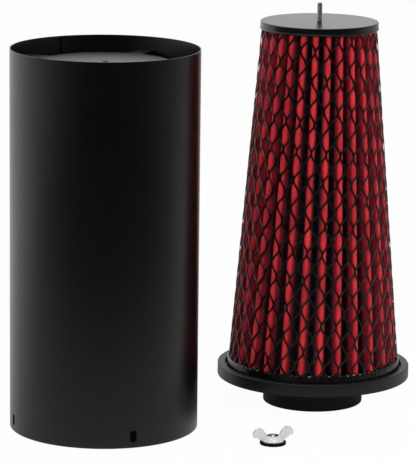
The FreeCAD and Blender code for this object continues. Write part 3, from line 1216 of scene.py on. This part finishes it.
def make_camera():
    """The photograph's view: from the front, a little above, through a long lens."""
    forward = Vector((0, math.cos(view_pitch), -math.sin(view_pitch)))
    lift = Vector((0, math.sin(view_pitch), math.cos(view_pitch)))
    right = Vector((1, 0, 0))
    turned_right = right * math.cos(view_roll) - lift * math.sin(view_roll)
    turned_up = right * math.sin(view_roll) + lift * math.cos(view_roll)
    data = bpy.data.cameras.new("camera")
    data.sensor_width = sensor_width
    data.lens = sensor_width * focal_pixels / frame_height
    data.clip_end = 100
    camera = bpy.data.objects.new("camera", data)
    bpy.context.scene.collection.objects.link(camera)
    turn = Matrix((turned_right, turned_up, -forward)).transposed().to_4x4()
    camera.matrix_world = Matrix.Translation(view_place) @ turn
    bpy.context.scene.camera = camera


def stage_material():
    """White paper that takes a faint shadow, with painted shade on it inside the canister.

    Glossy surfaces see it darken towards the front and off to the right, and see a painted shadow under the
    flange.
    """
    material = bpy.data.materials.new("studio_paper")
    paper = Shading(material)
    paper.tree.nodes.clear()
    to_camera = paper.node("ShaderNodeLightPath", output="Is Camera Ray")
    to_gloss = paper.node("ShaderNodeLightPath", output="Is Glossy Ray")
    place = paper.node("ShaderNodeTexCoord", output="Object")
    depth = paper.node("ShaderNodeSeparateXYZ", None, {"Vector": place}, output="Y")
    lit = paper.ramp((depth + floor_front) / (floor_front + floor_back), floor_falloff)
    outside = paper.round_patch(place, canister_axis, canister_radius - canister_wall, canister_radius)
    # Inside the canister the paper is painted dark: painted shade where the tube shuts out the light
    colour = paper.blend(outside, grey(painted_shade_in_canister), grey(paper_white))
    diffuse = paper.node("ShaderNodeBsdfDiffuse", None, {"Color": colour})
    # A painted shadow round the flange, seen only in reflections
    by_flange = paper.round_patch(place, element_axis, mesh_base_radius, 2 * mesh_base_radius)
    side = paper.node("ShaderNodeSeparateXYZ", None, {"Vector": place}, output="X")
    under = by_flange * flange_shadow + (1 - flange_shadow)
    strength = lit * under * (1 - side.between(0.5, 1.1) * floor_right_loss)
    strength = strength + to_camera * (1 - strength)
    glow = paper.node("ShaderNodeEmission", None, {"Color": grey(1.0), "Strength": strength})
    seen = to_camera.math("MAXIMUM", to_gloss) * outside * paper_glow
    mix = paper.node("ShaderNodeMixShader", None, {0: seen, 1: diffuse, 2: glow})
    paper.join(paper.node("ShaderNodeOutputMaterial", output=None), mix)
    return material


def make_floor():
    """The paper lies a little under the object, so that the two don't share a plane."""
    bpy.ops.mesh.primitive_plane_add(size=floor_size, location=(0, 0, 0))
    floor = named("studio_floor")
    floor.data.transform(Matrix.Translation((0, 0, -floor_drop)))
    floor.data.materials.append(stage_material())


def make_world():
    """White for the camera.

    Glossy surfaces see a white wall behind the object, dimmer to the right and towards the front.
    """
    world = bpy.data.worlds.new("studio")
    bpy.context.scene.world = world
    room = Shading(world)
    room.tree.nodes.clear()
    to_camera = room.node("ShaderNodeLightPath", output="Is Camera Ray")
    to_gloss = room.node("ShaderNodeLightPath", output="Is Glossy Ray")
    direction = room.node("ShaderNodeTexCoord", output="Generated")
    depth = room.node("ShaderNodeSeparateXYZ", None, {"Vector": direction}, output="Y")
    right = room.node("ShaderNodeSeparateXYZ", None, {"Vector": direction}, output="X")
    wall = room.ramp((depth + 1) * 0.5, wall_falloff)
    wall = wall * (1 - right.between(0.1, 0.75) * wall_right_loss)
    strength = to_camera.math("MAXIMUM", to_gloss * wall + (1 - to_gloss) * room_fill)
    light = room.node("ShaderNodeBackground", None, {"Color": grey(1.0), "Strength": strength})
    room.join(room.node("ShaderNodeOutputWorld", output=None), light)


def make_lamp(name, place, size, power, in_gloss):
    """A softbox that faces the object."""
    data = bpy.data.lights.new(name, "AREA")
    data.shape = "RECTANGLE"
    data.size, data.size_y = size
    data.energy = power
    lamp = bpy.data.objects.new(name, data)
    lamp.visible_glossy = in_gloss
    bpy.context.scene.collection.objects.link(lamp)
    aim = Vector(lamp_target) - Vector(place)
    turn = aim.to_track_quat("-Z", "Y").to_matrix().to_4x4()
    lamp.matrix_world = Matrix.Translation(place) @ turn


make_camera()
make_floor()
make_world()
for lamp in lamps:
    make_lamp(*lamp)

coat = powder_coat("canister_finish", 0.0016, 0.30)
cap_coat = powder_coat("cap_finish", 0.002, 0.26)
sleeve_coat = powder_coat("sleeve_finish", 0.002, 0.42, gloss=1.4)
core_zinc = zinc_plate("core_finish", 0.45, 0.35)
stud_zinc = zinc_plate("stud_finish", 0.42, 0.32, scratch_scale=(1, 1, 0.2))
nut_zinc = cast_zinc()
rubber = moulded_rubber("flange_finish", 0.004, 0.46)
washer_rubber = moulded_rubber("washer_finish", 0.0012, 0.5, gloss=1.18)
potting = glossy_potting()

make_canister(coat)
make_plate(coat)
make_flange(rubber)
make_potting(potting)
make_sleeve(sleeve_coat)
make_media(oiled_gauze())
make_cap(cap_coat)
make_stud(stud_zinc)
make_wing_nut(nut_zinc)
make_washer(washer_rubber)

# These three keep their CAD meshes and get only a finish
for node, finish in (("inner_core", core_zinc), ("top_potting", potting), ("load_plate", stud_zinc)):
    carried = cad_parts[node]
    carried.data.materials.clear()
    carried.data.materials.append(finish.material)

bpy.context.scene.view_settings.view_transform = "Standard"
